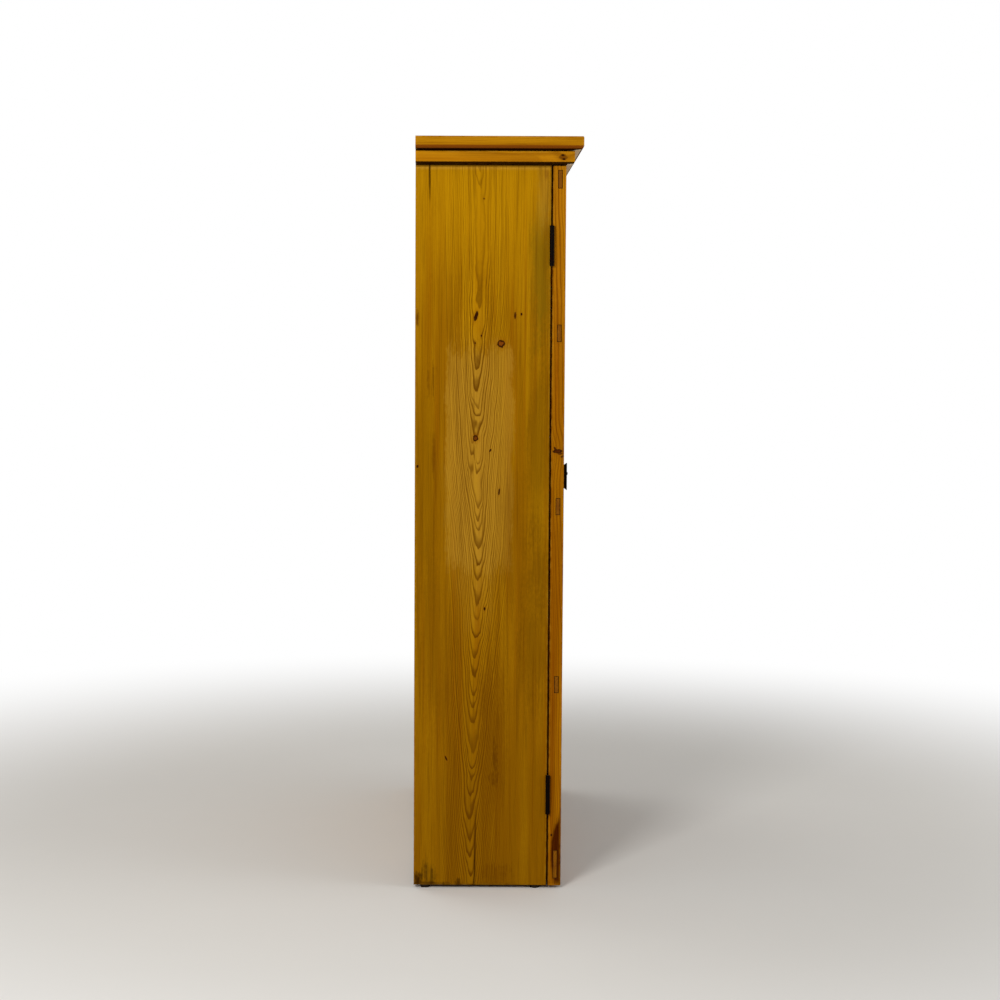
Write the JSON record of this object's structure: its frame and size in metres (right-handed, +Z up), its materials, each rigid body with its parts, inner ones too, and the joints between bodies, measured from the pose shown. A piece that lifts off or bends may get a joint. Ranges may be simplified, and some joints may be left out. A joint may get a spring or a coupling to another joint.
{
  "type": "glazed cabinet",
  "caption": "Tall shallow pine cabinet with a stepped cornice, glazed double doors on butt hinges, a turn catch and fixed shelves.",
  "frame": {"origin": "middle of the cabinet's overall box, on the floor under the glides", "axes": "+Z up, the doors face -Y and the back is +Y, +X to the right of someone facing the doors"},
  "size_m": [0.926, 0.322, 1.44],
  "materials": {
    "side_pine": "old waxed pine, satin",
    "case_pine": "unfinished aged pine inside",
    "cornice_pine": "old waxed pine, satin",
    "back_pine": "dry aged pine",
    "door_pine": "old waxed pine, satin",
    "bead_pine": "aged pine",
    "glass": "clear old sheet glass",
    "black_iron": "blackened iron, worn",
    "bare_iron": "dark bare iron",
    "steel_screws": "dulled steel",
    "glide_steel": "dull plated steel"
  },
  "bodies": {
    "carcass": {"back_board_1": "back_pine", "back_board_2": "back_pine", "back_board_3": "back_pine", "back_board_4": "back_pine", "back_board_5": "back_pine", "bottom_board": "case_pine", "cap_front": "cornice_pine", "cap_left": "cornice_pine", "cap_right": "cornice_pine", "carcass_hinge_leaves": "black_iron", "carcass_hinge_screws": "steel_screws", "cornice_front": "cornice_pine", "cornice_left": "cornice_pine", "cornice_right": "cornice_pine", "glides": "glide_steel", "head_board": "case_pine", "head_rail": "cornice_pine", "hinge_pins": "bare_iron", "left_side": "side_pine", "lower_shelf": "case_pine", "middle_shelf": "case_pine", "right_side": "side_pine", "shelf_cleats": "case_pine", "top_board": "cornice_pine", "upper_shelf": "case_pine"},
    "left_door": {"bolt_plate": "black_iron", "left_bottom_rail": "door_pine", "left_door_hinge_leaves": "black_iron", "left_door_hinge_screws": "steel_screws", "left_glazing_beads": "bead_pine", "left_hinge_stile": "door_pine", "left_lower_bar": "door_pine", "left_meeting_stile": "door_pine", "left_middle_bar": "door_pine", "left_pane_1": "glass", "left_pane_2": "glass", "left_pane_3": "glass", "left_pane_4": "glass", "left_top_rail": "door_pine", "left_upper_bar": "door_pine"},
    "right_door": {"handle_rose": "black_iron", "right_bottom_rail": "door_pine", "right_door_hinge_leaves": "black_iron", "right_door_hinge_screws": "steel_screws", "right_glazing_beads": "bead_pine", "right_hinge_stile": "door_pine", "right_lower_bar": "door_pine", "right_meeting_stile": "door_pine", "right_middle_bar": "door_pine", "right_pane_1": "glass", "right_pane_2": "glass", "right_pane_3": "glass", "right_pane_4": "glass", "right_top_rail": "door_pine", "right_upper_bar": "door_pine"},
    "turn_catch": {"handle_catch": "black_iron", "handle_spindle": "bare_iron", "turn_handle": "black_iron"},
    "door_bolt": {"sliding_bolt": "bare_iron"}
  },
  "joints": [
    {"name": "left_door_hinge", "type": "hinge", "parent": "carcass", "child": "left_door", "pos_m": [-0.4367, -0.0975, 0.709], "axis": [0, 0, -1], "range_deg": [0, 180]},
    {"name": "right_door_hinge", "type": "hinge", "parent": "carcass", "child": "right_door", "pos_m": [0.4367, -0.0975, 0.709], "axis": [0, 0, 1], "range_deg": [0, 180]},
    {"name": "catch_turn", "type": "hinge", "parent": "right_door", "child": "turn_catch", "pos_m": [0.026, -0.1115, 0.781], "axis": [0, 1, 0], "range_deg": [0, 90]},
    {"name": "bolt_slide", "type": "slide", "parent": "left_door", "child": "door_bolt", "axis": [0, 0, 1], "range_m": [0, 0.012]}
  ]
}
